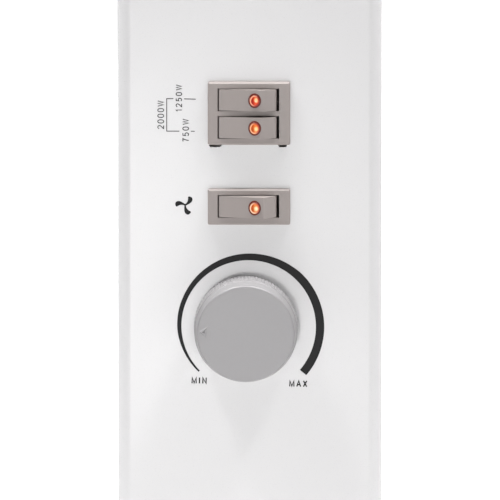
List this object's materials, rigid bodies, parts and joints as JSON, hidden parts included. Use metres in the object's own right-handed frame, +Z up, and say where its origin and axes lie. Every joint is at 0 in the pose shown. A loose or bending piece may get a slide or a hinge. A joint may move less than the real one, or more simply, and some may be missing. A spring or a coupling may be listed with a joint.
{
  "type": "convector heater",
  "caption": "Free-standing electric convector heater: slim white case on splayed feet, front louvred outlet, end panel with lit rocker switches, fan boost and thermostat knob.",
  "frame": {"origin": "on the floor under the middle of the overall box", "axes": "+X towards the control end, -Y the warm-air front, +Z up"},
  "size_m": [0.5382, 0.2, 0.385],
  "materials": {
    "case_steel": "white powder coat, satin",
    "cap_plastic": "white moulded plastic, semi-gloss",
    "grille_plastic": "heat resistant black plastic",
    "foot_plastic": "black moulded plastic",
    "pad_rubber": "soft black rubber",
    "galvanised": "zinc coated sheet",
    "screw_steel": "zinc plated",
    "mica": "pressed mica",
    "heating_alloy": "resistance ribbon",
    "knob_plastic": "warm grey satin plastic",
    "switch_plastic": "taupe grey satin plastic",
    "lens_clear": "translucent orange-red lens",
    "lamp_glass": "neon indicator",
    "contact_brass": "plain brass",
    "ceramic_white": "unglazed steatite",
    "bimetal_alloy": "rolled bimetal",
    "laminated_steel": "stacked laminations",
    "coil_copper": "taped enamelled winding",
    "impeller_plastic": "black moulded plastic",
    "shroud_plastic": "heat resistant black plastic",
    "block_plastic": "natural nylon",
    "bush_plastic": "black nylon",
    "wire_sleeve": "glass sleeved wire"
  },
  "bodies": {
    "heater": {"base_grille": "galvanised", "bulkhead_screws": "screw_steel", "control_bulkhead": "galvanised", "cord_bush": "bush_plastic", "cord_clamp": "bush_plastic", "element_terminals": "contact_brass", "end_cap_screws": "screw_steel", "fan_shroud": "shroud_plastic", "fan_shroud_screws": "screw_steel", "fan_switch_housing": "switch_plastic", "fan_switch_terminals": "contact_brass", "foot_pads": "pad_rubber", "foot_screws": "screw_steel", "front_heat_shield": "galvanised", "front_panel": "case_steel", "heat_switch_housing": "switch_plastic", "heat_switch_terminals": "contact_brass", "heating_wire_high": "heating_alloy", "heating_wire_low": "heating_alloy", "internal_wires": "wire_sleeve", "left_bulkhead": "galvanised", "left_end_cap": "cap_plastic", "left_foot": "foot_plastic", "mica_board_high": "mica", "mica_board_low": "mica", "motor_bearing_lower": "galvanised", "motor_bearing_upper": "galvanised", "motor_coil": "coil_copper", "motor_screws": "screw_steel", "motor_stator": "laminated_steel", "outlet_grille": "grille_plastic", "rear_heat_shield": "galvanised", "rear_panel": "case_steel", "rear_screws": "screw_steel", "right_end_cap": "cap_plastic", "right_foot": "foot_plastic", "terminal_block": "block_plastic", "thermal_cutout": "ceramic_white", "thermostat_bimetal": "bimetal_alloy", "thermostat_contact_spring": "contact_brass", "thermostat_frame": "galvanised", "thermostat_insulators": "ceramic_white", "thermostat_screws": "screw_steel"},
    "knob_body": {"control_knob": "knob_plastic", "thermostat_spindle": "contact_brass"},
    "heat_rocker_upper_body": {"heat_rocker_upper": "switch_plastic", "heat_lens_upper": "lens_clear", "heat_lamp_upper": "lamp_glass"},
    "heat_rocker_lower_body": {"heat_rocker_lower": "switch_plastic", "heat_lens_lower": "lens_clear", "heat_lamp_lower": "lamp_glass"},
    "fan_rocker_body": {"fan_rocker": "switch_plastic", "fan_lens": "lens_clear", "fan_lamp": "lamp_glass"},
    "heat_contact_upper_body": {"heat_contact_upper": "contact_brass"},
    "heat_contact_lower_body": {"heat_contact_lower": "contact_brass"},
    "fan_contact_body": {"fan_contact": "contact_brass"},
    "fan_rotor_body": {"motor_rotor": "laminated_steel", "motor_shaft": "screw_steel", "fan_impeller": "impeller_plastic"}
  },
  "joints": [
    {"name": "knob_turn", "type": "hinge", "parent": "heater", "child": "knob_body", "pos_m": [0.25085, -0.0015, 0.19], "axis": [1, 0, 0], "range_deg": [-218, 45.5]},
    {"name": "heat_rocker_upper_tilt", "type": "hinge", "parent": "heater", "child": "heat_rocker_upper_body", "pos_m": [0.24935, -0.00055, 0.28185], "axis": [0, 0, 1], "range_deg": [0, 12]},
    {"name": "heat_rocker_lower_tilt", "type": "hinge", "parent": "heater", "child": "heat_rocker_lower_body", "pos_m": [0.24935, -0.00055, 0.27075], "axis": [0, 0, 1], "range_deg": [0, 12]},
    {"name": "fan_rocker_tilt", "type": "hinge", "parent": "heater", "child": "fan_rocker_body", "pos_m": [0.24935, -0.00055, 0.2389], "axis": [0, 0, 1], "range_deg": [0, 12]},
    {"name": "heat_contact_upper_tilt", "type": "hinge", "parent": "heater", "child": "heat_contact_upper_body", "pos_m": [0.23835, -0.00055, 0.28185], "axis": [0, 0, 1], "range_deg": [-16, 0]},
    {"name": "heat_contact_lower_tilt", "type": "hinge", "parent": "heater", "child": "heat_contact_lower_body", "pos_m": [0.23835, -0.00055, 0.27075], "axis": [0, 0, 1], "range_deg": [-16, 0]},
    {"name": "fan_contact_tilt", "type": "hinge", "parent": "heater", "child": "fan_contact_body", "pos_m": [0.23835, -0.00055, 0.2389], "axis": [0, 0, 1], "range_deg": [-16, 0]},
    {"name": "fan_spin", "type": "hinge", "parent": "heater", "child": "fan_rotor_body", "pos_m": [-0.00915, 0, 0.06], "axis": [0, 0, 1], "continuous": true}
  ],
  "couplings": [
    {"joint": "heat_contact_upper_tilt", "follows": "heat_rocker_upper_tilt", "ratio": -0.66667},
    {"joint": "heat_contact_lower_tilt", "follows": "heat_rocker_lower_tilt", "ratio": -0.66667},
    {"joint": "fan_contact_tilt", "follows": "fan_rocker_tilt", "ratio": -0.66667}
  ]
}
